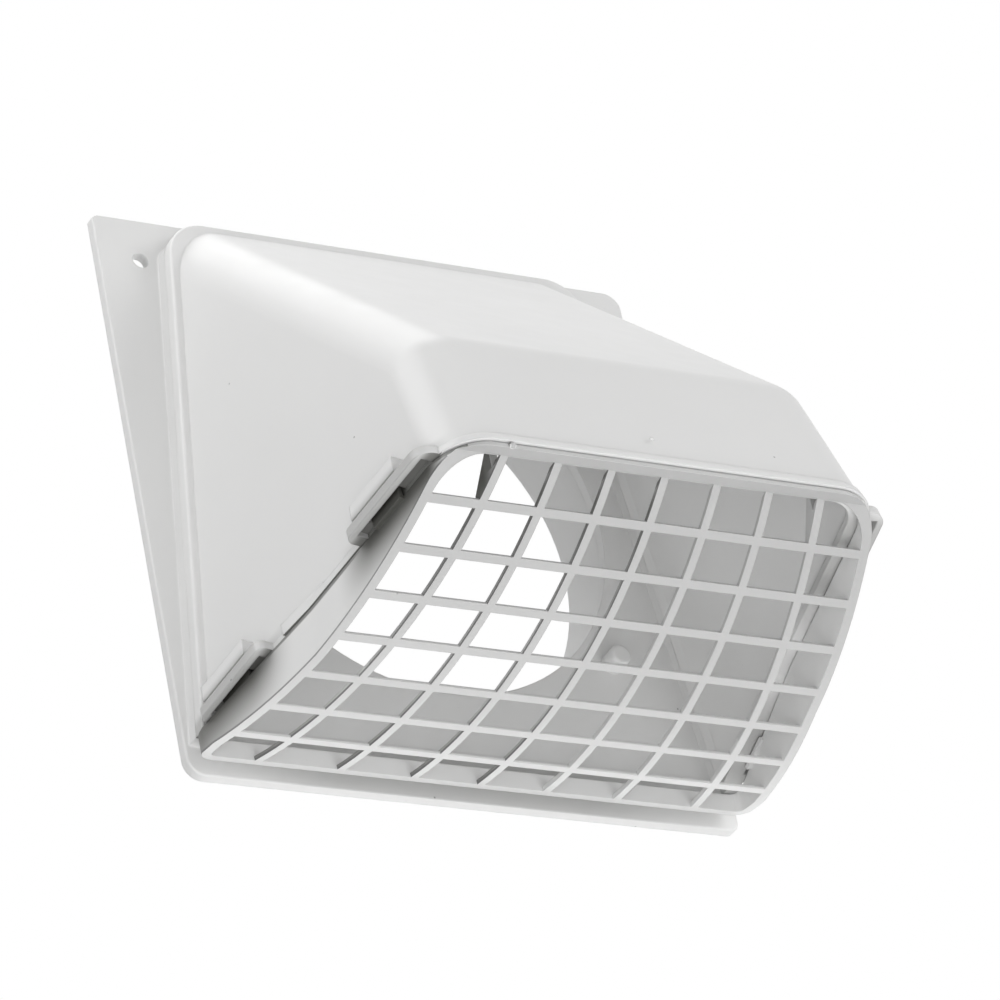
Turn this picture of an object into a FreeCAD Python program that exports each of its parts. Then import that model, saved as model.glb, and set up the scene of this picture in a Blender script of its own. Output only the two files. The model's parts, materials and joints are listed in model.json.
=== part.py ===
import FreeCAD, Part
import math
import os
import re
import Sketcher

# Dryer vent cap: wall plate with duct collar, sloping hood, pull-off grid guard.
# Frame: origin on the duct's axis at the plate's back face, +X right, +Z up, front towards -Y.
# Depths run from the plate's back face towards the front, drops run down from the duct's axis.

SIZES = (
    # Wall plate
    ("plate_half_width", 71.3),
    ("plate_top", 70.45),
    ("plate_bottom", 79.8),
    ("plate_thick", 2.6),
    ("corner_top_left", 1.5),
    ("corner_top_right", 4.5),
    ("corner_bottom_left", 4.5),
    ("corner_bottom_right", 2.5),
    # Duct opening and the collar that takes the duct
    ("duct_radius", 51.0),
    ("collar_bore", 53.0),
    ("collar_wall", 2.5),
    ("collar_length", 18.5),
    # Screw holes and bosses
    ("screw_hole", 4.0),
    ("screw_side_inset", 10.85),
    ("screw_top_inset", 11.45),
    ("boss_diameter", 5.4),
    ("boss_height", 5.0),
    ("boss_round", 0.9),
    ("boss_reach", 45.8),
    ("boss_drop", 37.7),
    # Ridge on the plate that carries the hood
    ("ridge_height", 3.3),
    ("ridge_wall", 3.4),
    ("ridge_top_drop", 2.6),
    ("ridge_round", 6.0),
    ("ridge_foot_round", 0.5),
    ("plate_edge_round", 0.5),
    # Hood lip
    ("lip_top_inset", 3.45),
    ("lip_side_inset", 0.4),
    ("lip_half_top", 55.0),
    ("lip_thick", 3.3),
    ("lip_round", 10.0),
    ("lip_edge_round", 0.8),
    ("lip_setback", 2.0),
    # Hood form
    ("break_depth", 92.5),
    ("break_drop", 19.5),
    ("mouth_depth", 104.0),
    ("mouth_half_width", 53.5),
    ("rim_rear_rise", 7.3),
    ("rim_front_drop", 53.6),
    ("hood_wall", 2.2),
    ("roof_round", 12.0),
    ("ledge_width", 2.0),
    ("ledge_height", 1.6),
    ("bead_proud", 0.7),
    ("bead_height", 1.8),
    # Clip pockets on the hood's sides
    ("pocket_front_depth", 83.5),
    ("pocket_front_length", 30.0),
    ("pocket_rear_depth", 23.5),
    ("pocket_rear_length", 25.0),
    ("pocket_end_wall", 2.6),
    ("pocket_skin", 1.6),
    ("pocket_room", 3.0),
    ("pocket_bar", 2.2),
    ("pocket_roof", 0.8),
    ("pocket_round", 2.0),
    ("pocket_nose_round", 4.2),
    ("pad_front_depth", 80.4),
    ("pad_rear_depth", 22.2),
    ("pad_length", 16.5),
    ("pad_height", 7.2),
    ("pad_draft", 0.4),
    ("pad_groove", 0.5),
    ("pad_groove_deep", 0.7),
    ("wedge_depth", 47.5),
    ("wedge_length", 15.0),
    ("wedge_height", 3.0),
    ("wedge_proud", 1.5),
    ("wedge_tip", 0.2),
    # Guard
    ("guard_gap", 2.8),
    ("guard_low_rise", 0.5),
    ("guard_low_depth", 27.0),
    ("guard_corner_round", 4.0),
    ("cheek_proud", 0.55),
    ("cheek_rear_proud", 3.2),
    ("cheek_flare_depth", 50.0),
    ("seam_gap", 0.4),
    ("frame_width", 2.2),
    ("frame_front", 3.2),
    ("front_bar", 1.0),
    ("bar_width", 1.9),
    ("bar_deep", 1.1),
    ("bar_front_pitch", 13.32),
    ("bar_rear_first", 17.1),
    ("bar_rear_second", 35.8),
    ("bar_rear_third", 56.5),
    ("cross_width", 2.1),
    ("cross_deep", 0.7),
    ("cross_rear_space", 11.8),
    ("cross_front_space", 11.65),
    ("fin_height", 5.6),
    ("fin_clearance", 3.3),
    # Tongues of the guard in the pockets
    ("tongue_clearance", 0.7),
    ("tongue_thick", 1.0),
    ("tongue_rise", 4.2),
    ("tongue_end_play", 0.6),
    ("tongue_foot", 1.0),
)
BAR_PAIRS = ("bar_rear_first", "bar_rear_second", "bar_rear_third")
CROSS_BARS = 7
NAMES = {name for name, value in SIZES}

doc = FreeCAD.newDocument("DryerVentCap")
sheet = doc.addObject("Spreadsheet::Sheet", "Sizes")
for row, (name, value) in enumerate(SIZES, 1):
    sheet.set(f"A{row}", name)
    sheet.set(f"B{row}", str(value))
    sheet.setAlias(f"B{row}", name)
doc.recompute()


def tied(text):
    """Turn size names in a formula into references to the sheet's cells."""
    return re.sub(r"[a-z_]+", lambda m: "Sizes." + m[0] if m[0] in NAMES else m[0], text)


def num(text):
    return float(sheet.evalExpression(tied(text)))


def bind(obj, **formulas):
    for prop, text in formulas.items():
        obj.setExpression(prop, tied(text))
    return obj


# Formulas shared by the pieces
LIP_TOP = "(plate_top - lip_top_inset)"
LIP_HALF_LOW = "(plate_half_width - lip_side_inset)"
BASE_DEPTH = "(plate_thick + ridge_height + lip_thick)"
LIP_BACK = "(plate_thick + ridge_height)"
RIM_REAR = "(plate_bottom - rim_rear_rise)"
FLARE = f"(({LIP_HALF_LOW} - lip_half_top) / ({LIP_TOP} + plate_bottom))"
WALL_TOP_HALF = "(lip_half_top - lip_setback)"
LEAN = (f"(({WALL_TOP_HALF} + {FLARE} * ({LIP_TOP} + rim_front_drop) - mouth_half_width)"
        f" / (mouth_depth - {BASE_DEPTH}))")
RIM_SLOPE = f"(({RIM_REAR} - rim_front_drop) / (mouth_depth - {BASE_DEPTH}))"
GUARD_REAR = "(plate_thick + guard_gap)"
# Room that tools and cut-away blocks stand past the piece they cut
BEYOND = "plate_half_width"


def lip_half(z):
    """Half width of the hood's lip at height z."""
    return f"(lip_half_top + {FLARE} * ({LIP_TOP} - ({z})))"


def wall_half(depth, z):
    """Half width of the hood's outer wall plane at a depth and a height."""
    return f"({WALL_TOP_HALF} + {FLARE} * ({LIP_TOP} - ({z})) - {LEAN} * (({depth}) - {BASE_DEPTH}))"


def rim_z(depth):
    """Height of the hood's mouth plane at a depth."""
    return f"(-{RIM_REAR} + {RIM_SLOPE} * (({depth}) - {BASE_DEPTH}))"


def new_body(name):
    return doc.addObject("PartDesign::Body", name)


def plane(body, role):
    return [f for f in body.Origin.OriginFeatures if f.Role == role][0]


def sketch_on(body, name, role, offset="0"):
    sketch = body.newObject("Sketcher::SketchObject", name)
    sketch.AttachmentSupport = [(plane(body, role), "")]
    sketch.MapMode = "FlatFace"
    sketch.setExpression("AttachmentOffset.Base.z", tied(offset))
    return sketch


def outline(sketch, corners):
    """Closed polygon whose corners are held by formulas."""
    spots = [FreeCAD.Vector(num(x), num(y), 0) for x, y in corners]
    count = len(spots)
    first = sketch.GeometryCount
    for i in range(count):
        sketch.addGeometry(Part.LineSegment(spots[i], spots[(i + 1) % count]), False)
    for i in range(count):
        sketch.addConstraint(Sketcher.Constraint("Coincident", first + i, 2, first + (i + 1) % count, 1))
    for i, (x, y) in enumerate(corners):
        pin(sketch, first + i, 1, x, y)
    return sketch


def pin(sketch, geometry, point, x, y):
    for kind, text in (("DistanceX", x), ("DistanceY", y)):
        k = sketch.addConstraint(Sketcher.Constraint(kind, -1, 1, geometry, point, num(text)))
        sketch.setExpression(f"Constraints[{k}]", tied(text))


def circle(sketch, x, y, radius):
    spot = FreeCAD.Vector(num(x), num(y), 0)
    geometry = sketch.addGeometry(Part.Circle(spot, FreeCAD.Vector(0, 0, 1), num(radius)), False)
    pin(sketch, geometry, 3, x, y)
    k = sketch.addConstraint(Sketcher.Constraint("Radius", geometry, num(radius)))
    sketch.setExpression(f"Constraints[{k}]", tied(radius))
    return sketch


def pad(body, sketch, name, length, back=False, both=False):
    feature = body.newObject("PartDesign::Pad", name)
    feature.Profile = sketch
    feature.Reversed = back
    feature.Midplane = both
    bind(feature, Length=length)
    doc.recompute()
    return feature


def pocket(body, sketch, name, length, flip=False, both=False):
    feature = body.newObject("PartDesign::Pocket", name)
    feature.Profile = sketch
    feature.Reversed = flip
    feature.Midplane = both
    bind(feature, Length=length)
    doc.recompute()
    return feature


def round_off(body, name, radius, test):
    """Fillet every edge of the body's tip that passes the test."""
    tip = body.Tip
    picked = [f"Edge{i}" for i, edge in enumerate(tip.Shape.Edges, 1) if test(edge)]
    feature = body.newObject("PartDesign::Fillet", name)
    feature.Base = (tip, picked)
    bind(feature, Radius=radius)
    doc.recompute()
    return feature


def near(value, formula, room=0.01):
    return abs(value - num(formula)) < room


def ends(edge):
    return [vertex.Point for vertex in edge.Vertexes]


def runs_back(edge):
    """True for an edge square to the plate."""
    first, last = ends(edge)[0], ends(edge)[-1]
    return math.hypot(first.x - last.x, first.z - last.z) < 0.01 and abs(first.y - last.y) > 0.01


def join(kind, name, *pieces):
    """Part boolean of two pieces, or of many for a multi fuse."""
    feature = doc.addObject(kind, name)
    if kind == "Part::MultiFuse":
        feature.Shapes = list(pieces)
    else:
        feature.Base, feature.Tool = pieces
    doc.recompute()
    return feature


def block(name, length, width, height, spot, turn=None):
    """Box bound to the sheet, placed by a corner and an optional turn."""
    box = doc.addObject("Part::Box", name)
    bind(box, Length=length, Width=width, Height=height)
    box.Placement = FreeCAD.Placement(spot, turn or FreeCAD.Rotation())
    return box


def mirrored(name, source):
    twin = doc.addObject("Part::Mirroring", name)
    twin.Source = source
    twin.Normal = FreeCAD.Vector(1, 0, 0)
    return twin


def side_prism(name, corners):
    """Prism across the whole width from a side profile given as depth and height."""
    body = new_body(name)
    sketch = outline(sketch_on(body, name + "Profile", "YZ_Plane"), [(f"-({d})", z) for d, z in corners])
    pad(body, sketch, name + "Pad", f"4 * {BEYOND}", both=True)
    return body


def wall_frame():
    """Directions on the right wall: along the rim to the front, outward, and up the wall."""
    out = FreeCAD.Vector(1, -num(LEAN), num(FLARE))
    along = FreeCAD.Vector(-num(LEAN) - num(FLARE) * num(RIM_SLOPE), -1, num(RIM_SLOPE))
    out.normalize()
    along.normalize()
    return along, out, along.cross(out)


ALONG, OUT, UP = wall_frame()
WALL_TURN = FreeCAD.Rotation(ALONG, OUT, UP, "XYZ")


def rim_spot(depth):
    """Point on the right wall's outer face where it meets the mouth plane."""
    return FreeCAD.Vector(num(wall_half(depth, rim_z(depth))), -num(depth), num(rim_z(depth)))


def on_wall(depth, along, out, up):
    """Point given from the rim by steps along the rim, outward and up the wall."""
    return rim_spot(depth) + ALONG * num(along) + OUT * num(out) + UP * num(up)


def between_walls(name, inset, depth=BASE_DEPTH, swing=0.0):
    """Block between the two side wall planes, inset, and swung open to the rear about a depth."""
    size = f"8 * {BEYOND}"
    turn = FreeCAD.Rotation(FreeCAD.Vector(0, 0, 1), -swing)
    corner = (ALONG + UP) * -4 * num(BEYOND) - OUT * num(f"{size} + ({inset})")
    right = block(name + "Right", size, size, size, rim_spot(depth) + turn.multVec(corner), turn * WALL_TURN)
    return join("Part::Common", name, right, mirrored(name + "Left", right))


def soften(name, source, *rounds):
    """Fillets given as pairs of a radius and a test for the edges that take it."""
    picked = []
    for radius, test in rounds:
        for i, edge in enumerate(source.Shape.Edges, 1):
            if test(edge):
                picked.append((i, num(radius), num(radius)))
    feature = doc.addObject("Part::Fillet", name)
    feature.Base = source
    feature.Edges = picked
    doc.recompute()
    return feature


# Back plate
plate = new_body("back_plate")
face = outline(sketch_on(plate, "PlateOutline", "XZ_Plane"), [
    ("-plate_half_width", "-plate_bottom"), ("plate_half_width", "-plate_bottom"),
    ("plate_half_width", "plate_top"), ("-plate_half_width", "plate_top")])
pad(plate, face, "PlatePad", "plate_thick")


def plate_corner(x, z):
    return lambda edge: all(near(p.x, x) and near(p.z, z) for p in ends(edge))


round_off(plate, "CornerTopLeft", "corner_top_left", plate_corner("-plate_half_width", "plate_top"))
round_off(plate, "CornerTopRight", "corner_top_right", plate_corner("plate_half_width", "plate_top"))
round_off(plate, "CornerBottomLeft", "corner_bottom_left", plate_corner("-plate_half_width", "-plate_bottom"))
round_off(plate, "CornerBottomRight", "corner_bottom_right", plate_corner("plate_half_width", "-plate_bottom"))

# Ridge over the top and down both sides of the hood's base
RIDGE_TOP = f"({LIP_TOP} - ridge_top_drop)"
ridge = sketch_on(plate, "RidgeOutline", "XZ_Plane", "plate_thick")
ridge_low = f"-{RIM_REAR}"
ridge_in_top = f"({RIDGE_TOP} - ridge_wall)"
outline(ridge, [
    (f"-{lip_half(ridge_low)}", ridge_low), (f"-{lip_half(RIDGE_TOP)}", RIDGE_TOP),
    (lip_half(RIDGE_TOP), RIDGE_TOP), (lip_half(ridge_low), ridge_low),
    (f"({lip_half(ridge_low)} - ridge_wall)", ridge_low),
    (f"({lip_half(ridge_in_top)} - ridge_wall)", ridge_in_top),
    (f"-({lip_half(ridge_in_top)} - ridge_wall)", ridge_in_top),
    (f"-({lip_half(ridge_low)} - ridge_wall)", ridge_low)])
pad(plate, ridge, "RidgePad", "ridge_height")
round_off(plate, "RidgeCorners", "ridge_round", lambda edge: runs_back(edge) and all(
    near(abs(p.x), lip_half(RIDGE_TOP)) and near(p.z, RIDGE_TOP) for p in ends(edge)))


def on_ridge_foot(edge):
    outer = all(near(abs(p.x), lip_half(str(p.z))) or near(p.z, RIDGE_TOP) for p in ends(edge))
    return outer and all(near(p.y, "-plate_thick") for p in ends(edge))


def on_plate_edge(edge):
    room = num("plate_half_width") - num(lip_half(ridge_low))
    middle = edge.valueAt((edge.FirstParameter + edge.LastParameter) / 2)
    outside = abs(middle.x) > num("plate_half_width") - room or middle.z > num(LIP_TOP)
    outside = outside or middle.z < -num(RIM_REAR) - room
    return outside and all(near(p.y, "-plate_thick") for p in ends(edge) + [middle])


SIDE_ROOM = f"(plate_half_width - {lip_half(ridge_low)})"
round_off(plate, "RidgeFoot", f"min(ridge_foot_round; 0.45 * {SIDE_ROOM})", on_ridge_foot)
round_off(plate, "PlateEdge", f"min(plate_edge_round; 0.45 * {SIDE_ROOM})", on_plate_edge)

# Collar behind the plate, its bore stops the duct at a shoulder
collar = circle(sketch_on(plate, "CollarOutline", "XZ_Plane"), "0", "0", "collar_bore + collar_wall")
pad(plate, collar, "CollarPad", "collar_length", back=True)
bore = circle(sketch_on(plate, "CollarBore", "XZ_Plane"), "0", "0", "collar_bore")
pocket(plate, bore, "CollarBorePocket", "collar_length")
opening = circle(sketch_on(plate, "DuctOpening", "XZ_Plane"), "0", "0", "duct_radius")
pocket(plate, opening, "DuctPocket", "plate_thick", flip=True)

# Two screw holes in the top corners, two bosses inside the hood
holes = sketch_on(plate, "ScrewHoles", "XZ_Plane")
bosses = sketch_on(plate, "Bosses", "XZ_Plane", "plate_thick")
for sign in ("", "-"):
    circle(holes, f"{sign}(plate_half_width - screw_side_inset)", "plate_top - screw_top_inset",
           "screw_hole / 2")
    circle(bosses, f"{sign}boss_reach", "-boss_drop", "boss_diameter / 2")
pocket(plate, holes, "ScrewPockets", "plate_thick", flip=True)
pad(plate, bosses, "BossPads", "boss_height")
round_off(plate, "BossRound", "min(boss_round; 0.45 * boss_diameter)", lambda edge: all(
    near(p.y, "-(plate_thick + boss_height)") for p in ends(edge)))

# Hood form: roof, front and mouth in side view, between the leaning side walls
ROOF_TOP = f"({LIP_TOP} - lip_setback)"
profile = side_prism("HoodProfile", [
    (BASE_DEPTH, ROOF_TOP), ("break_depth", "-break_drop"),
    ("mouth_depth", "-rim_front_drop"), (BASE_DEPTH, f"-{RIM_REAR}")])
sharp = join("Part::Common", "HoodSharp", profile, between_walls("HoodSides", "0"))


def leans_in(edge):
    """True for the edges where a side wall meets the roof or the front."""
    first, last = ends(edge)[0], ends(edge)[-1]
    return first.x * last.x > 0 and not on_mouth(edge) and not on_back(edge)


def on_mouth(edge):
    return all(near(p.z, rim_z(str(-p.y))) for p in ends(edge))


def on_back(edge):
    return all(near(p.y, f"-{BASE_DEPTH}") for p in ends(edge))


def on_break(edge):
    return all(near(p.y, "-break_depth") and near(p.z, "-break_drop") for p in ends(edge))


def on_face(face, test):
    return all(test(edge) for edge in face.Edges)


def hollow(name, source, wall):
    """Skin of a form, open at the back and at the mouth; the wall grows inward, or outward if negative."""
    skin = doc.addObject("Part::Thickness", name)
    open_faces = [f"Face{i}" for i, face in enumerate(source.Shape.Faces, 1)
                  if on_face(face, on_mouth) or on_face(face, on_back)]
    skin.Faces = (source, open_faces)
    skin.Join = "Intersection"
    bind(skin, Value=f"-({wall})")
    doc.recompute()
    return skin


def mouth_slab(name, low, height):
    """Slab along the mouth plane, between two heights above it."""
    across = FreeCAD.Vector(1, 0, 0)
    back = FreeCAD.Vector(0, 1, -num(RIM_SLOPE))
    up = FreeCAD.Vector(0, num(RIM_SLOPE), 1)
    back.normalize()
    up.normalize()
    reach = 4 * num(BEYOND)
    rear = FreeCAD.Vector(0, -num(BASE_DEPTH), -num(RIM_REAR))
    spot = rear - across * reach - back * reach + up * num(low)
    size = f"8 * {BEYOND}"
    return block(name, size, size, height, spot, FreeCAD.Rotation(across, back, up, "XYZ"))


form = soften("HoodForm", sharp, ("roof_round", lambda edge: leans_in(edge) or on_break(edge)))
shell = hollow("HoodShell", form, "hood_wall")
ledge = join("Part::Common", "MouthLedge", hollow("HoodThick", form, "hood_wall + ledge_width"),
             mouth_slab("LedgeSlab", "0", "ledge_height"))
bead = join("Part::Common", "MouthBead", hollow("HoodOuter", form, "-bead_proud"),
            mouth_slab("BeadSlab", "0", "bead_height"))

# Hood lip that stands on the plate's ridge, open at the bottom
lip = new_body("HoodLip")
lip_low = f"-{RIM_REAR}"
outline(sketch_on(lip, "LipOutline", "XZ_Plane", LIP_BACK), [
    (f"-{lip_half(lip_low)}", lip_low), (lip_half(lip_low), lip_low),
    (lip_half(LIP_TOP), LIP_TOP), (f"-{lip_half(LIP_TOP)}", LIP_TOP)])
pad(lip, lip.Group[-1], "LipPad", "lip_thick")
round_off(lip, "LipCorners", "lip_round", lambda edge: runs_back(edge) and near(ends(edge)[0].z, LIP_TOP))
round_off(lip, "LipEdge", "lip_edge_round", lambda edge: all(
    near(p.y, f"-{BASE_DEPTH}") for p in ends(edge)) and any(not near(p.z, lip_low) for p in ends(edge)))
within = "(lip_setback + hood_wall)"
hole_top = f"({ROOF_TOP} - hood_wall)"
hole_low = f"({lip_low} - lip_thick)"
outline(sketch_on(lip, "LipHole", "XZ_Plane", LIP_BACK), [
    (f"-({lip_half(hole_low)} - {within})", hole_low), (f"({lip_half(hole_low)} - {within})", hole_low),
    (f"({lip_half(hole_top)} - {within})", hole_top), (f"-({lip_half(hole_top)} - {within})", hole_top)])
pocket(lip, lip.Group[-1], "LipHolePocket", "lip_thick", flip=True)
round_off(lip, "LipHoleCorners", "lip_round", lambda edge: runs_back(edge) and near(ends(edge)[0].z, hole_top))


def wedge(name, turn, spot, **sizes):
    body = doc.addObject("Part::Wedge", name)
    bind(body, **sizes)
    body.Placement = FreeCAD.Placement(spot, turn)
    return body


# Clip pockets, each a bar with a pad above it, hollow and open downward, trimmed flush with the mouth
CLIPS = (("Front", "pocket_front_depth", "pocket_front_length", "pad_front_depth", "pocket_nose_round"),
         ("Rear", "pocket_rear_depth", "pocket_rear_length", "pad_rear_depth", "pocket_round"))
STAND_OFF = "(pocket_room + pocket_skin)"
ROOT = "(0.9 * hood_wall)"


def stands_up(edge, middle, sign):
    """True for an upright edge on a housing's outer face, at its front end or at its rear end."""
    first, last = ends(edge)[0], ends(edge)[-1]
    run = last - first
    off = first - middle
    return abs(run.dot(UP)) > 0.99 * run.Length and abs(off.dot(OUT)) < 0.01 and sign * off.dot(ALONG) > 0


proud = []
cavities = []
UPPER_ROOM = "(pad_length - 2 * pocket_end_wall)"
for label, depth, length, pad_depth, nose in CLIPS:
    housing = block("PocketBar" + label, length, f"{STAND_OFF} + {ROOT}", "pocket_bar + pocket_skin",
                    on_wall(depth, f"-{length} / 2", f"-{ROOT}", "-pocket_skin"), WALL_TURN)
    doc.recompute()
    middle = rim_spot(depth) + OUT * num(STAND_OFF)
    proud.append(soften("PocketBarRound" + label, housing,
                        (nose, lambda edge: stands_up(edge, middle, 1)),
                        ("pocket_round", lambda edge: stands_up(edge, middle, -1))))
    proud.append(block("GrooveFill" + label, "pad_length", f"{STAND_OFF} - pad_groove_deep + {ROOT}",
                       "2 * pad_groove", on_wall(pad_depth, "-pad_length / 2", f"-{ROOT}",
                                                 "pocket_bar - pad_groove / 2"), WALL_TURN))
    upright = FreeCAD.Rotation(ALONG * -1, UP, OUT, "XYZ")
    proud.append(wedge("Pad" + label, upright,
                       on_wall(pad_depth, "pad_length / 2", "0", "pocket_bar + pad_groove"),
                       Xmin="0", Xmax="pad_length", X2min="0", X2max="pad_length",
                       Ymin="0", Ymax="pad_height - pocket_bar - pad_groove",
                       Zmin=f"-{ROOT}", Z2min=f"-{ROOT}", Zmax=STAND_OFF, Z2max=f"{STAND_OFF} - pad_draft"))
    for level, spot, room, top in (("Low", depth, f"({length} - 2 * pocket_end_wall)", "pocket_bar"),
                                   ("High", pad_depth, UPPER_ROOM, "pad_height")):
        cavities.append(block("Cavity" + level + label, room, "pocket_room",
                              f"{top} - pocket_roof + {STAND_OFF}",
                              on_wall(spot, f"-{room} / 2", "0", f"-{STAND_OFF}"), WALL_TURN))

# Thin wedge on the rim between the pockets, thick at its rear end
strip = FreeCAD.Rotation(UP, ALONG, OUT, "XYZ")
proud.append(wedge("RimWedge", strip, on_wall("wedge_depth", "-wedge_length / 2", "0", "0"),
                   Xmin="-pocket_skin", Xmax="wedge_height", X2min="-pocket_skin", X2max="wedge_height",
                   Ymin="0", Ymax="wedge_length", Zmin=f"-{ROOT}", Z2min=f"-{ROOT}",
                   Zmax="wedge_proud", Z2max="wedge_tip"))
doc.recompute()
right_clips = join("Part::MultiFuse", "RightClips", *proud)
right_hollows = join("Part::MultiFuse", "RightHollows", *cavities)
solid_hood = join("Part::MultiFuse", "HoodSolid", shell, ledge, bead, lip, right_clips,
                  mirrored("LeftClips", right_clips))
hollows = join("Part::MultiFuse", "PocketHollows", right_hollows, mirrored("LeftHollows", right_hollows))
trimmed = join("Part::Cut", "HoodTrimmed", solid_hood, mouth_slab("BelowMouth", f"-{BEYOND}", BEYOND))
hood = join("Part::Cut", "hood", trimmed, hollows)

# Guard: a tray with one curve from its lowest line up to the front, its cheeks flared to the rear
GUARD_LOW = "(plate_bottom - guard_low_rise)"
FRONT_IN = "(mouth_depth - frame_front)"
REAR_IN = f"({GUARD_REAR} + frame_width)"
FRAME_LOW = "(-rim_front_drop - seam_gap - front_bar)"
CURVE_RUN = f"({FRONT_IN} - guard_low_depth)"
CURVE_RISE = f"({GUARD_LOW} + {FRAME_LOW})"
RADIUS = f"(({CURVE_RUN} * {CURVE_RUN} + {CURVE_RISE} * {CURVE_RISE}) / (2 * {CURVE_RISE}))"
ARC_Z = f"({RADIUS} - {GUARD_LOW})"
CHEEK_SWING = math.degrees(math.atan(num(
    f"(cheek_rear_proud - cheek_proud) / (cheek_flare_depth - {GUARD_REAR})")))


def scoop(name, lift):
    """Space above the tray's curve, lifted off its lower face."""
    drum = doc.addObject("Part::Cylinder", name)
    bind(drum, Radius=f"{RADIUS} - ({lift})", Height=f"8 * {BEYOND}")
    centre = FreeCAD.Vector(-4 * num(BEYOND), -num("guard_low_depth"), num(ARC_Z))
    drum.Placement = FreeCAD.Placement(centre, FreeCAD.Rotation(FreeCAD.Vector(0, 1, 0), 90))
    return drum


def across(edge, depth):
    """True for an upright edge of a tray at a depth."""
    first, last = ends(edge)[0], ends(edge)[-1]
    return first.x * last.x > 0 and near(first.y, f"-({depth})") and near(last.y, f"-({depth})")


def tray(name, rear, front, top, low, inset, radius, rear_radius):
    """Block between the side walls, flared to the rear, with rounded corners."""
    sides = f"{inset} - cheek_proud"
    walls = join("Part::MultiFuse", name + "Walls", between_walls(name + "Straight", sides),
                 between_walls(name + "Flared", sides, "cheek_flare_depth", CHEEK_SWING))
    half = f"({LIP_HALF_LOW} - ({inset}))"
    limit = block(name + "Limit", f"2 * {half}", f"4 * {BEYOND}", f"8 * {BEYOND}",
                  FreeCAD.Vector(-num(half), -3 * num(BEYOND), -4 * num(BEYOND)))
    prism = side_prism(name + "Side", [(rear, top(rear)), (front, top(front)), (front, low), (rear, low)])
    sharp = join("Part::Common", name + "Sharp", join("Part::Common", name + "Between", prism, walls), limit)
    return soften(name, sharp, (radius, lambda edge: across(edge, front)),
                  (rear_radius, lambda edge: across(edge, rear)))


outer_tray = tray("GuardOuter", GUARD_REAR, "mouth_depth", lambda d: f"({rim_z(d)} - seam_gap)",
                  "-plate_bottom", "0", "roof_round", "guard_corner_round")
inner_tray = tray("GuardInner", REAR_IN, FRONT_IN, lambda d: f"({rim_z(d)} + {BEYOND})",
                  f"-(plate_bottom + {BEYOND})", "frame_width", "roof_round - frame_width",
                  "guard_corner_round / 2")
front_bar = block("FrontBar", f"8 * {BEYOND}", "2 * frame_front", f"-{FRAME_LOW}",
                  FreeCAD.Vector(-4 * num(BEYOND), -num("mouth_depth + frame_front"), num(FRAME_LOW)))
space = join("Part::MultiFuse", "GuardSpace", scoop("Scoop", "0"), front_bar)
guard_block = join("Part::Common", "GuardBlock", outer_tray, space)

# Grid: a fan of seven bars from rear to front, and seven thinner ones across along the curve
fan_bars = []
tall = "plate_bottom + plate_top"
rear_y = -num(f"{GUARD_REAR} + frame_width / 2")
front_y = -num(FRONT_IN)
fan = [("0", "0")]
for k, rear in enumerate(BAR_PAIRS, 1):
    fan += [(f"{k} * bar_front_pitch", rear), (f"-{k} * bar_front_pitch", f"-{rear}")]
for i, (x_front, x_rear) in enumerate(fan):
    head = FreeCAD.Vector(num(x_front), front_y, 0)
    tail = FreeCAD.Vector(num(x_rear), rear_y, 0)
    run = tail - head
    turn = FreeCAD.Rotation(FreeCAD.Vector(0, 0, 1), -math.degrees(math.atan2(run.x, run.y)))
    corner = turn.multVec(FreeCAD.Vector(-num("bar_width / 2"), -num(BEYOND), -2 * num("plate_bottom")))
    fan_bars.append(block(f"FanBar{i}", "bar_width", f"4 * {BEYOND}", f"3 * ({tall})", head + corner, turn))
cross_bars = []
radius = num(RADIUS)
curve_start = radius * math.asin(num(f"{REAR_IN} - guard_low_depth") / radius)
curve_end = radius * math.asin(num(CURVE_RUN) / radius)
first = curve_start + num("cross_rear_space")
pitch = (curve_end - num("cross_front_space") - first) / (CROSS_BARS - 1)
centre = FreeCAD.Vector(0, -num("guard_low_depth"), num(ARC_Z))
for i in range(CROSS_BARS):
    turn = FreeCAD.Rotation(FreeCAD.Vector(1, 0, 0), -math.degrees((first + i * pitch) / radius))
    arm = FreeCAD.Vector(-4 * num(BEYOND), -num("cross_width / 2"), -radius - num("cross_deep"))
    cross_bars.append(block(f"CrossBar{i}", f"8 * {BEYOND}", "cross_width", "3 * cross_deep",
                            centre + turn.multVec(arm), turn))
doc.recompute()
fan_grid = join("Part::Cut", "FanGrid", join("Part::MultiFuse", "Fan", *fan_bars), scoop("FanTop", "bar_deep"))
cross_grid = join("Part::Cut", "CrossGrid", join("Part::MultiFuse", "Cross", *cross_bars),
                  scoop("CrossTop", "cross_deep"))
grid = join("Part::MultiFuse", "Grid", fan_grid, cross_grid)
cells = join("Part::Cut", "Cells", inner_tray, grid)
frame = join("Part::Cut", "GuardFrame", guard_block, cells)

# Fins behind the front bar, on the outermost bars of the fan
fin_front = f"({FRONT_IN} - fin_clearance)"
fin_rear = f"({FRONT_IN} - 3 * fin_clearance)"
fin_side = side_prism("FinSide", [
    (fin_front, f"({FRAME_LOW} + fin_height)"), (fin_front, f"({FRAME_LOW} - fin_height)"),
    (fin_rear, f"({FRAME_LOW} - 2 * fin_height)"), (fin_rear, f"({FRAME_LOW} - fin_height + bar_deep)")])
outer_bars = join("Part::MultiFuse", "OuterBars", *fan_bars[-2:])
fins = join("Part::Common", "Fins", outer_bars, fin_side)
fins = join("Part::Common", "FinsAbove", fins, scoop("FinSpace", "0"))

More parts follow.
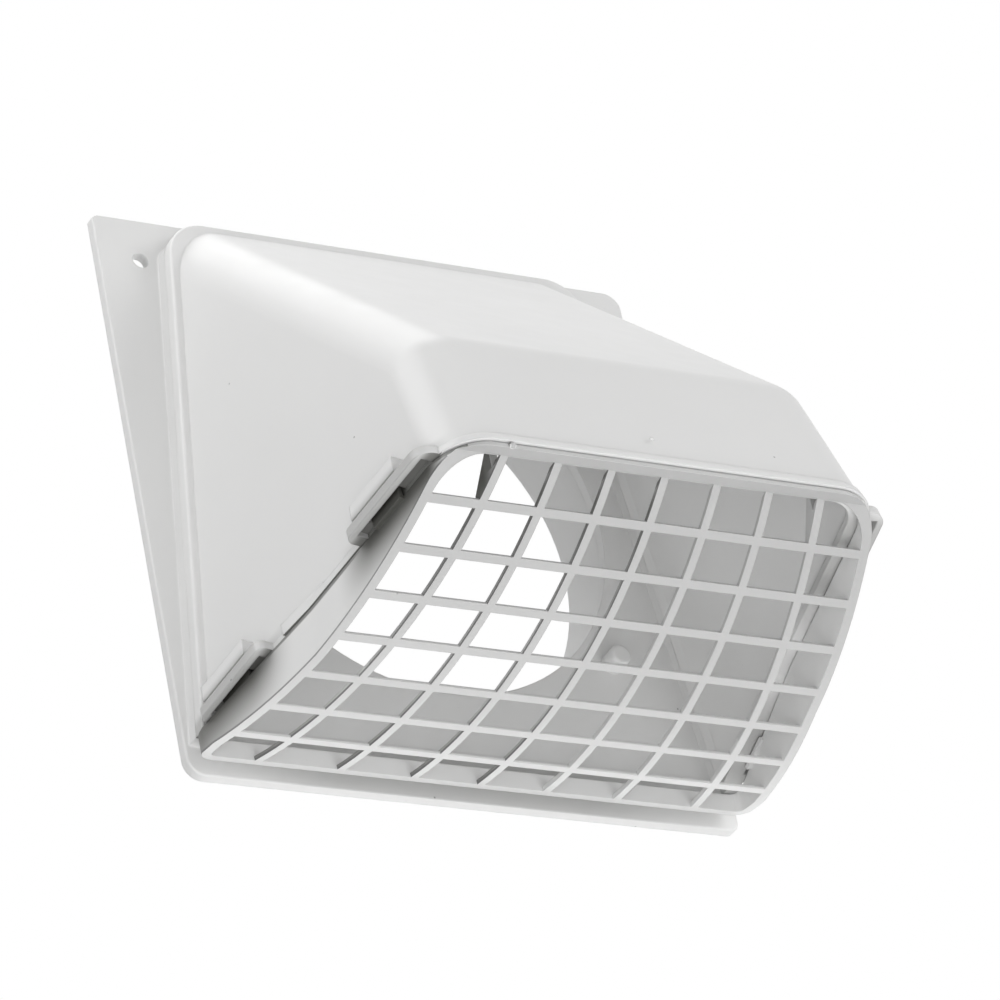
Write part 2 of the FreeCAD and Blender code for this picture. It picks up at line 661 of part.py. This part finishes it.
# Tongues that go up into the hood's pockets
tongues = []
reach = f"({UPPER_ROOM} - 2 * tongue_end_play)"
for label, _, _, depth, _ in CLIPS:
    tongues.append(block("TongueFoot" + label, reach, "tongue_clearance + tongue_thick + frame_width / 2",
                         "tongue_foot", on_wall(depth, f"-{reach} / 2", "-frame_width / 2",
                                                "-seam_gap - tongue_foot"), WALL_TURN))
    tongues.append(block("Tongue" + label, reach, "tongue_thick", "tongue_rise + seam_gap + tongue_foot",
                         on_wall(depth, f"-{reach} / 2", "tongue_clearance", "-seam_gap - tongue_foot"),
                         WALL_TURN))
doc.recompute()
right_tongues = join("Part::MultiFuse", "RightTongues", *tongues)
guard = join("Part::MultiFuse", "guard", frame, fins, right_tongues, mirrored("LeftTongues", right_tongues))

# Check every object, then write the three pieces
doc.recompute()
for obj in doc.Objects:
    if "Invalid" in obj.State or "Error" in obj.State:
        raise RuntimeError(f"{obj.Name} failed: {obj.getStatusString()}")
os.makedirs("parts", exist_ok=True)
for piece in (plate, hood, guard):
    shape = piece.Shape
    if shape.isNull() or not shape.isValid():
        raise RuntimeError(f"{piece.Label} has no valid shape")
    print(piece.Label, "solids", len(shape.Solids), "volume", round(shape.Volume, 1))
    shape.exportStep(f"parts/{piece.Label}.step")
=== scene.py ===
import json
from math import radians

import bmesh
import bpy
from mathutils import Matrix, Vector


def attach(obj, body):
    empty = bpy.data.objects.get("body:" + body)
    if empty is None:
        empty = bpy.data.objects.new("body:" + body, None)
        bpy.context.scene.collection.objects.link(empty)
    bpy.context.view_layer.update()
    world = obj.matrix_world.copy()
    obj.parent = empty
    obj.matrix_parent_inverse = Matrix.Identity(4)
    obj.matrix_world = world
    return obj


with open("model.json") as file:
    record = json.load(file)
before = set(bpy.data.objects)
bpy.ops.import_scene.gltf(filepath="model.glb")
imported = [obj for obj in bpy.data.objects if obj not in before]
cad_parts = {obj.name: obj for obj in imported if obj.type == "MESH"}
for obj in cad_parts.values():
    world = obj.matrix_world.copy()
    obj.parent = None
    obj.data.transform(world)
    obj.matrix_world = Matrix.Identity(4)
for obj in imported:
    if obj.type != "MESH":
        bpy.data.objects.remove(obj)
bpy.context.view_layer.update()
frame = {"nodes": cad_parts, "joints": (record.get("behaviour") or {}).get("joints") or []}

MM = 0.001
WHITE = (1.0, 1.0, 1.0, 1.0)

# Camera of the photograph: place, turn up to level, turn to the right, rise above level, roll and lens
CAMERA_PLACE = Vector((-661.2, -991.8, -714.0)) * MM
CAMERA_LEVEL = radians(90.0)
CAMERA_TURN = radians(34.7334)
CAMERA_RISE = radians(30.8416)
CAMERA_ROLL = radians(-11.947)
LENS_MM = 216.0
SENSOR_MM = 36.0

# Stage: a pale floor far below, the world's even light, and the white that the camera sees behind it all
FLOOR_HEIGHT = -1.0
FLOOR_SIZE = 8.0
FLOOR_COLOUR = (0.86, 0.86, 0.86, 1.0)
FLOOR_ROUGHNESS = 0.8
FLOOR_GLOW = 0.5
WORLD_LIGHT = 0.21
BACKDROP_LIGHT = 1.0

# Lamps: direction from the object, distance with size across, and power
NEAR_LAMP = (0.55, 0.45)
FAR_LAMP = (1.25, 0.9)
LAMPS = {
    "upper_left": (Vector((-1.0, 0.0, 1.0)), *NEAR_LAMP, 1.32),
    "top": (Vector((0.0, 0.2, 1.0)), *FAR_LAMP, 3.6),
    "front": (Vector((0.0, -1.0, 0.0)), *FAR_LAMP, 2.0),
    "right_front": (Vector((1.0, -1.0, 0.3)), *FAR_LAMP, 5.7),
    "below": (Vector((0.1, -0.3, -1.0)), *FAR_LAMP, 4.8),
    "low_right": (Vector((1.0, 0.0, -0.7)), *FAR_LAMP, 1.0),
    "low_left_front": (Vector((-0.8, -0.8, -0.8)), *FAR_LAMP, 5.3),
    "low_left": (Vector((-1.0, 0.2, -0.6)), *FAR_LAMP, 1.0),
    "back": (Vector((0.6, 1.0, -0.4)), *FAR_LAMP, 3.0),
}
LAMP_TARGET = Vector((0.0, -0.05, -0.01))
LAMP_LOWEST = -0.93

# Moulded plastic: a noise is scale per metre and detail, a ramp is two pairs of value and grey level
DRIFT_NOISE = (16.0, 3.0)
DRIFT_RAMP = ((0.35, 0.975), (0.65, 1.0))
SPECK_CELLS_PER_METRE = 130.0
SPECK_DOT_RAMP = ((0.022, 1.0), (0.040, 0.0))
SPECK_FEW_RAMP = ((0.60, 0.0), (0.62, 0.7))
EDGE_SAMPLES = 6
# Edges a little lighter, as wear and as painted highlight
EDGE_WEAR_AND_HIGHLIGHT_RAMP = ((0.80, 0.5), (0.99, 0.0))
EDGE_LIGHTER = 1.06
HOLLOW_SAMPLES = 8
HOLLOW_REACH = 8.0 * MM
HOLLOW_RAMP = ((0.15, 0.9), (0.48, 0.0))
SHEEN_NOISE = (140.0, 4.0)
SHEEN_SPOTS = (0.3, 0.7)
PLASTIC_IOR = 1.49
DARK = (0.16, 0.16, 0.16, 1.0)
# Colour of painted shade: in hollows, at the clips and on the plate's strip
SHADE_COLOUR = (0.060, 0.060, 0.050, 1.0)

# Relief of the plastic's skin, slow waves and fine grain: noise, bump strength and bump depth of each
WAVES = (45.0, 1.0, 0.06, 0.4 * MM)
GRAIN = (2600.0, 2.0, 0.10, 0.05 * MM)

# Facings: how much of a face's normal points the way asked for, as one limit or as the ends of a fade
SIDE_FACING = 0.5
CREASE_FACING = 0.8
HOLLOW_SHADE_FACING = (0.0, 0.3)
UNDERSIDE_FACING = (0.5, 0.8)
FRONT_FACING = (0.6, 0.9)

# Guard: colours of its painted shade, darker toward the front, and depths where they are reached, and its
# cheeks' distance from the middle
GUARD_REAR = (0.77, 0.77, 0.765, 1.0)
GUARD_FRONT = (0.49, 0.49, 0.487, 1.0)
SHADE_DEPTHS = (10.0 * MM, 90.0 * MM)
CHEEK_FROM = 50.0 * MM
CHEEK_AT_WALL = 70.1 * MM
CHEEK_LEAN = 0.154

# Arc of the guard's lower face, with the depth and height of its middle, and the painted shade line of the
# crease just above it
ARC_MIDDLE = Vector((0.0, 27.0, 44.917)) * MM
ARC_RADIUS = 124.217 * MM
CREASE_FADE = (0.35 * MM, 0.70 * MM)
CREASE_SHARE = 0.75

# Mouth between hood and guard: the way the guard pulls off, and how far along it the cheeks' top is
MOUTH_NORMAL = Vector(frame["joints"][0]["axis"])
CHEEK_TOP = 73.29 * MM

# Painted shade at the clips: depths between which it fades, then its painted shadow below the clips, dark
# tongues and line along the seam
REAR_CLIP_END = (28.0 * MM, 44.0 * MM)
FRONT_CLIP_START = (59.0 * MM, 73.0 * MM)
FRONT_CLIP_END = (94.0 * MM, 100.0 * MM)
CAST_SHADOW_FADE = (0.0, 16.0 * MM)
CAST_SHADOW_POWER = 1.2
TONGUE_END = 1.1 * MM
TONGUE_INSIDE = 54.0 * MM
TONGUE_REAR = 10.0 * MM
SEAM_FADE = (0.55 * MM, 1.1 * MM)
SEAM_SHARE = 0.85

# Clip bars of the hood, just above the mouth, with painted shade on them and on their undersides, fading
# away from the cheek
BAR_FADE = (-6.0 * MM, -3.0 * MM)
BAR_SHARE = 0.40
UNDERSIDE_FADE = (0.8 * MM, 4.8 * MM)
UNDERSIDE_SHARE = 0.8

# Plate's strip below the hood: heights and distances from the middle over which its painted shade fades
STRIP_HEIGHTS = (-68.0 * MM, -66.0 * MM)
STRIP_MIDDLE = (30.0 * MM, 68.0 * MM)

# Small marks left by the mould: body and node that each is on, middle and half sizes
MOULD_MARKS = {
    "frame_nub": ("guard", "guard", Vector((-39.7, -104.0, -54.4)) * MM, Vector((0.9, 0.7, 0.8)) * MM),
    "front_pip": ("cap", "hood", Vector((-2.5, -102.5, -46.4)) * MM, Vector((0.6, 0.2, 0.5)) * MM),
}
MARK_SEGMENTS = 24
MARK_RINGS = 12


def add_camera():
    data = bpy.data.cameras.new("photo_camera")
    data.lens = LENS_MM
    data.sensor_width = SENSOR_MM
    data.sensor_fit = "HORIZONTAL"
    camera = bpy.data.objects.new("photo_camera", data)
    turn = Matrix.Rotation(-CAMERA_TURN, 4, "Z")
    rise = Matrix.Rotation(CAMERA_LEVEL + CAMERA_RISE, 4, "X")
    roll = Matrix.Rotation(CAMERA_ROLL, 4, "Z")
    camera.matrix_world = Matrix.Translation(CAMERA_PLACE) @ turn @ rise @ roll
    bpy.context.scene.collection.objects.link(camera)
    bpy.context.scene.camera = camera


def add_lamp(name, way, distance, size, power):
    data = bpy.data.lights.new(name, "AREA")
    data.shape = "DISK"
    data.size = size
    data.energy = power
    lamp = bpy.data.objects.new(name, data)
    lamp.location = LAMP_TARGET + way.normalized() * distance
    lamp.location.z = max(lamp.location.z, LAMP_LOWEST)
    lamp.rotation_euler = (LAMP_TARGET - lamp.location).to_track_quat("-Z", "Y").to_euler()
    lamp.visible_camera = False
    bpy.context.scene.collection.objects.link(lamp)


def add_floor():
    half = FLOOR_SIZE / 2
    mesh = bpy.data.meshes.new("floor")
    corners = [(-half, -half, FLOOR_HEIGHT), (half, -half, FLOOR_HEIGHT),
               (half, half, FLOOR_HEIGHT), (-half, half, FLOOR_HEIGHT)]
    mesh.from_pydata(corners, [], [(0, 1, 2, 3)])
    mesh.materials.append(pale_floor())
    floor = bpy.data.objects.new("floor", mesh)
    bpy.context.scene.collection.objects.link(floor)


def pale_floor():
    """Matt floor with a glow that only the camera sees."""
    material = bpy.data.materials.new("pale_floor")
    material.use_nodes = True
    nodes = material.node_tree.nodes
    links = material.node_tree.links
    shader = nodes["Principled BSDF"]
    shader.inputs["Base Color"].default_value = FLOOR_COLOUR
    shader.inputs["Roughness"].default_value = FLOOR_ROUGHNESS
    shader.inputs["Emission Color"].default_value = WHITE
    paths = nodes.new("ShaderNodeLightPath")
    glow = nodes.new("ShaderNodeMath")
    glow.operation = "MULTIPLY"
    glow.inputs[1].default_value = FLOOR_GLOW
    links.new(paths.outputs["Is Camera Ray"], glow.inputs[0])
    links.new(glow.outputs[0], shader.inputs["Emission Strength"])
    return material


def light_world():
    """Even studio light, and a white background for the camera, reflections and glass."""
    world = bpy.data.worlds.new("studio")
    world.use_nodes = True
    bpy.context.scene.world = world
    nodes = world.node_tree.nodes
    links = world.node_tree.links
    nodes.clear()
    paths = nodes.new("ShaderNodeLightPath")
    seen = paths.outputs["Is Camera Ray"]
    for ray in ("Is Glossy Ray", "Is Transmission Ray"):
        either = nodes.new("ShaderNodeMath")
        either.operation = "MAXIMUM"
        links.new(seen, either.inputs[0])
        links.new(paths.outputs[ray], either.inputs[1])
        seen = either.outputs[0]
    mix = nodes.new("ShaderNodeMixShader")
    links.new(seen, mix.inputs["Fac"])
    for strength, socket in zip((WORLD_LIGHT, BACKDROP_LIGHT), mix.inputs[1:]):
        light = nodes.new("ShaderNodeBackground")
        light.inputs["Color"].default_value = WHITE
        light.inputs["Strength"].default_value = strength
        links.new(light.outputs["Background"], socket)
    out = nodes.new("ShaderNodeOutputWorld")
    links.new(mix.outputs["Shader"], out.inputs["Surface"])


class Tree:
    """Short names for building a plastic's nodes, and the measures that its masks are made of."""

    def __init__(self, material):
        material.use_nodes = True
        self.nodes = material.node_tree.nodes
        self.links = material.node_tree.links
        self.shader = self.nodes["Principled BSDF"]
        self.place = self.nodes.new("ShaderNodeTexCoord").outputs["Object"]
        self.normal = self.nodes.new("ShaderNodeNewGeometry").outputs["Normal"]
        axes = self.add("SeparateXYZ", Vector=self.place).outputs
        facing = self.add("SeparateXYZ", Vector=self.normal).outputs
        self.across = axes["X"]
        self.depth = self.times(axes["Y"], -1.0)
        self.height = axes["Z"]
        self.off_middle = self.math("ABSOLUTE", self.across)
        self.on_left = self.math("LESS_THAN", self.across, 0.0)
        self.outward = self.times(self.math("SIGN", self.across), facing["X"])
        self.forward = self.times(facing["Y"], -1.0)

    def set(self, socket, value):
        if isinstance(value, bpy.types.NodeSocket):
            self.links.new(value, socket)
        else:
            socket.default_value = value

    def give(self, node, **inputs):
        for name, value in inputs.items():
            self.set(node.inputs[name.replace("_", " ")], value)

    def add(self, kind, **inputs):
        node = self.nodes.new("ShaderNode" + kind)
        self.give(node, **inputs)
        return node

    def noise(self, per_metre, detail):
        return self.add("TexNoise", Vector=self.place, Scale=per_metre, Detail=detail).outputs["Fac"]

    def ramp(self, value, *stops):
        """Grey level that goes evenly from the first stop to the second."""
        node = self.add("ValToRGB", Fac=value)
        for element, (spot, level) in zip(node.color_ramp.elements, stops):
            element.position = spot
            element.color = (level, level, level, 1.0)
        return node.outputs["Color"]

    def math(self, operation, first, second=0.0):
        node = self.nodes.new("ShaderNodeMath")
        node.operation = operation
        self.set(node.inputs[0], first)
        self.set(node.inputs[1], second)
        return node.outputs[0]

    def times(self, product, *factors):
        for factor in factors:
            product = self.math("MULTIPLY", product, factor)
        return product

    def vector(self, operation, first, second):
        node = self.nodes.new("ShaderNodeVectorMath")
        node.operation = operation
        self.set(node.inputs[0], first)
        self.set(node.inputs[1], second)
        return node.outputs["Value"]

    def fade(self, value, start, end, kind="SMOOTHSTEP"):
        """Step from 0 at start to 1 at end."""
        node = self.add("MapRange", Value=value, From_Min=start, From_Max=end)
        node.interpolation_type = kind
        return node.outputs["Result"]

    def fade_out(self, value, start, end):
        return self.math("SUBTRACT", 1.0, self.fade(value, start, end))

    def mix(self, factor, first, second, blend="MIX"):
        node = self.nodes.new("ShaderNodeMix")
        node.data_type = "RGBA"
        node.blend_type = blend
        self.give(node, Factor=factor, A=first, B=second)
        return node.outputs["Result"]


def specks(tree):
    """A few tiny dark dots, here and there."""
    cells = tree.add("TexVoronoi", Vector=tree.place, Scale=SPECK_CELLS_PER_METRE).outputs
    dot = tree.ramp(cells["Distance"], *SPECK_DOT_RAMP)
    few = tree.ramp(cells["Color"], *SPECK_FEW_RAMP)
    return tree.times(dot, few)


def edge_wear_and_highlight(tree, soft_normal):
    """Share of lighter colour, wear and painted highlight, where the softened normal leaves the true one,
    on edges.
    """
    turn = tree.vector("DOT_PRODUCT", soft_normal, tree.normal)
    return tree.ramp(turn, *EDGE_WEAR_AND_HIGHLIGHT_RAMP)


def hollow_shade(tree):
    """Painted shade in hollows of the left side's outer faces."""
    hollow = tree.add("AmbientOcclusion", Distance=HOLLOW_REACH)
    hollow.samples = HOLLOW_SAMPLES
    deep = tree.ramp(hollow.outputs["AO"], *HOLLOW_RAMP)
    return tree.times(deep, tree.fade(tree.outward, *HOLLOW_SHADE_FACING), tree.on_left)


def relief(tree, normal):
    """Normal with slow waves and fine grain."""
    for per_metre, detail, strength, depth in (WAVES, GRAIN):
        height = tree.noise(per_metre, detail)
        bump = tree.add("Bump", Strength=strength, Distance=depth, Height=height, Normal=normal)
        normal = bump.outputs["Normal"]
    return normal


def guard_painted_shade(tree, unshaded_tint):
    """Cheeks in the plastic's own colour, and painted shade that darkens toward the front on all other
    faces.
    """
    shaded_tint = tree.mix(tree.fade(tree.depth, *SHADE_DEPTHS, kind="LINEAR"), GUARD_REAR, GUARD_FRONT)
    wide = tree.math("GREATER_THAN", tree.off_middle, CHEEK_FROM)
    sideways = tree.math("GREATER_THAN", tree.math("ABSOLUTE", tree.outward), SIDE_FACING)
    return tree.mix(tree.times(wide, sideways), shaded_tint, unshaded_tint)


def painted_crease_shade(tree):
    """Thin painted shade line where a cheek of the guard ends above its lower edge."""
    side_view = tree.add("CombineXYZ", Y=tree.depth, Z=tree.height).outputs["Vector"]
    above = tree.math("SUBTRACT", ARC_RADIUS, tree.vector("DISTANCE", side_view, ARC_MIDDLE))
    side = tree.math("GREATER_THAN", tree.outward, CREASE_FACING)
    return tree.times(tree.fade_out(above, *CREASE_FADE), side, CREASE_SHARE)


def by_clips(tree):
    """One beside the front and rear clips, nothing between them."""
    rear = tree.fade_out(tree.depth, *REAR_CLIP_END)
    front = tree.times(tree.fade(tree.depth, *FRONT_CLIP_START), tree.fade_out(tree.depth, *FRONT_CLIP_END))
    return tree.math("MAXIMUM", rear, front)


def below_mouth(tree):
    return tree.math("SUBTRACT", tree.vector("DOT_PRODUCT", tree.place, MOUTH_NORMAL), CHEEK_TOP)


def cheek_painted_shade(tree):
    """Painted shade on the guard's left: dark tongues, soft painted shadow below the clips and a dark line
    along the seam.
    """
    drop = below_mouth(tree)
    side = tree.math("GREATER_THAN", tree.outward, SIDE_FACING)
    cast_shadow = tree.times(tree.math("POWER", tree.fade_out(drop, *CAST_SHADOW_FADE), CAST_SHADOW_POWER), side)
    tongue = tree.times(tree.math("LESS_THAN", drop, TONGUE_END),
                        tree.math("GREATER_THAN", tree.off_middle, TONGUE_INSIDE),
                        tree.math("GREATER_THAN", tree.depth, TONGUE_REAR))
    clips = tree.times(tree.math("MAXIMUM", cast_shadow, tongue), by_clips(tree))
    seam = tree.times(tree.fade_out(drop, *SEAM_FADE), SEAM_SHARE, side)
    return tree.times(tree.math("MAXIMUM", clips, seam), tree.on_left)


def clip_shade(tree):
    """Painted shade on the hood's clip bars, and on the undersides of the left ones."""
    bars = tree.times(tree.fade(below_mouth(tree), *BAR_FADE), BAR_SHARE, by_clips(tree))
    downward = tree.fade(tree.vector("DOT_PRODUCT", tree.normal, MOUTH_NORMAL), *UNDERSIDE_FACING)
    outer_left = tree.math("LESS_THAN", tree.across, -TONGUE_INSIDE)
    cheek = tree.math("SUBTRACT", CHEEK_AT_WALL, tree.times(tree.depth, CHEEK_LEAN))
    beyond = tree.math("SUBTRACT", tree.off_middle, cheek)
    under = tree.times(downward, outer_left, tree.fade_out(beyond, *UNDERSIDE_FADE), UNDERSIDE_SHARE)
    return tree.math("MAXIMUM", bars, under)


def strip_painted_shade(tree):
    """Painted shade on the plate's strip below the hood, darkest in the middle."""
    strip = tree.fade_out(tree.height, *STRIP_HEIGHTS)
    front = tree.fade(tree.forward, *FRONT_FACING)
    middle = tree.fade_out(tree.off_middle, *STRIP_MIDDLE)
    return tree.times(strip, front, middle)


def moulded_plastic(name, colour, sheen, edge, painted_shade, painted_shade_share, is_guard=False):
    """White moulded plastic: faint tint drift, specks, edges lighter by wear and painted highlight, painted
    shade in hollows and at given places, and fine grain.
    """
    material = bpy.data.materials.new(name)
    tree = Tree(material)
    bevel = tree.add("Bevel", Radius=edge)
    bevel.samples = EDGE_SAMPLES
    soft_normal = bevel.outputs["Normal"]
    worn_and_lit = tuple(level * EDGE_LIGHTER for level in colour[:3]) + (1.0,)
    # Guard: painted shade that darkens toward the front, cheeks excepted
    tint = guard_painted_shade(tree, colour) if is_guard else colour
    tint = tree.mix(1.0, tint, tree.ramp(tree.noise(*DRIFT_NOISE), *DRIFT_RAMP), blend="MULTIPLY")
    tint = tree.mix(specks(tree), tint, DARK)
    # Edges lighter: wear, and painted highlight
    tint = tree.mix(edge_wear_and_highlight(tree, soft_normal), tint, worn_and_lit)
    # Painted shade in hollows on the left
    tint = tree.mix(hollow_shade(tree), tint, SHADE_COLOUR)
    # Painted shade given for each piece
    tint = tree.mix(tree.times(painted_shade(tree), painted_shade_share), tint, SHADE_COLOUR)
    if is_guard:
        # Painted shade line along the guard's crease
        tint = tree.mix(painted_crease_shade(tree), tint, DARK)
    gloss = tree.ramp(tree.noise(*SHEEN_NOISE), *zip(SHEEN_SPOTS, sheen))
    normal = relief(tree, soft_normal)
    tree.give(tree.shader, Base_Color=tint, Roughness=gloss, Normal=normal, IOR=PLASTIC_IOR)
    return material


def dress(node, material):
    mesh = frame["nodes"][node].data
    mesh.materials.clear()
    mesh.materials.append(material)


def add_mark(name, body, place, size, material):
    """Small rounded nub left by the mould."""
    shape = bmesh.new()
    bmesh.ops.create_uvsphere(shape, u_segments=MARK_SEGMENTS, v_segments=MARK_RINGS, radius=1.0)
    mesh = bpy.data.meshes.new(name)
    shape.to_mesh(mesh)
    shape.free()
    mesh.shade_smooth()
    mesh.materials.append(material)
    mark = bpy.data.objects.new(name, mesh)
    mark.location = place
    mark.scale = size
    bpy.context.scene.collection.objects.link(mark)
    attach(mark, body)


bpy.context.scene.view_settings.view_transform = "Standard"
plastics = {
    "guard": moulded_plastic("guard_white", colour=(0.80, 0.80, 0.795, 1.0), sheen=(0.34, 0.46),
                             edge=0.35 * MM, painted_shade=cheek_painted_shade, painted_shade_share=0.92, is_guard=True),
    "back_plate": moulded_plastic("plate_white", colour=(0.79, 0.79, 0.785, 1.0), sheen=(0.34, 0.44),
                                  edge=0.5 * MM, painted_shade=strip_painted_shade, painted_shade_share=0.28),
    "hood": moulded_plastic("hood_white", colour=(0.81, 0.81, 0.805, 1.0), sheen=(0.32, 0.42),
                            edge=0.6 * MM, painted_shade=clip_shade, painted_shade_share=1.0),
}
for node_name, plastic in plastics.items():
    dress(node_name, plastic)
for mark_name, (mark_body, mark_node, mark_place, mark_size) in MOULD_MARKS.items():
    add_mark(mark_name, mark_body, mark_place, mark_size, plastics[mark_node])
add_floor()
light_world()
for lamp_name, lamp in LAMPS.items():
    add_lamp(lamp_name, *lamp)
add_camera()
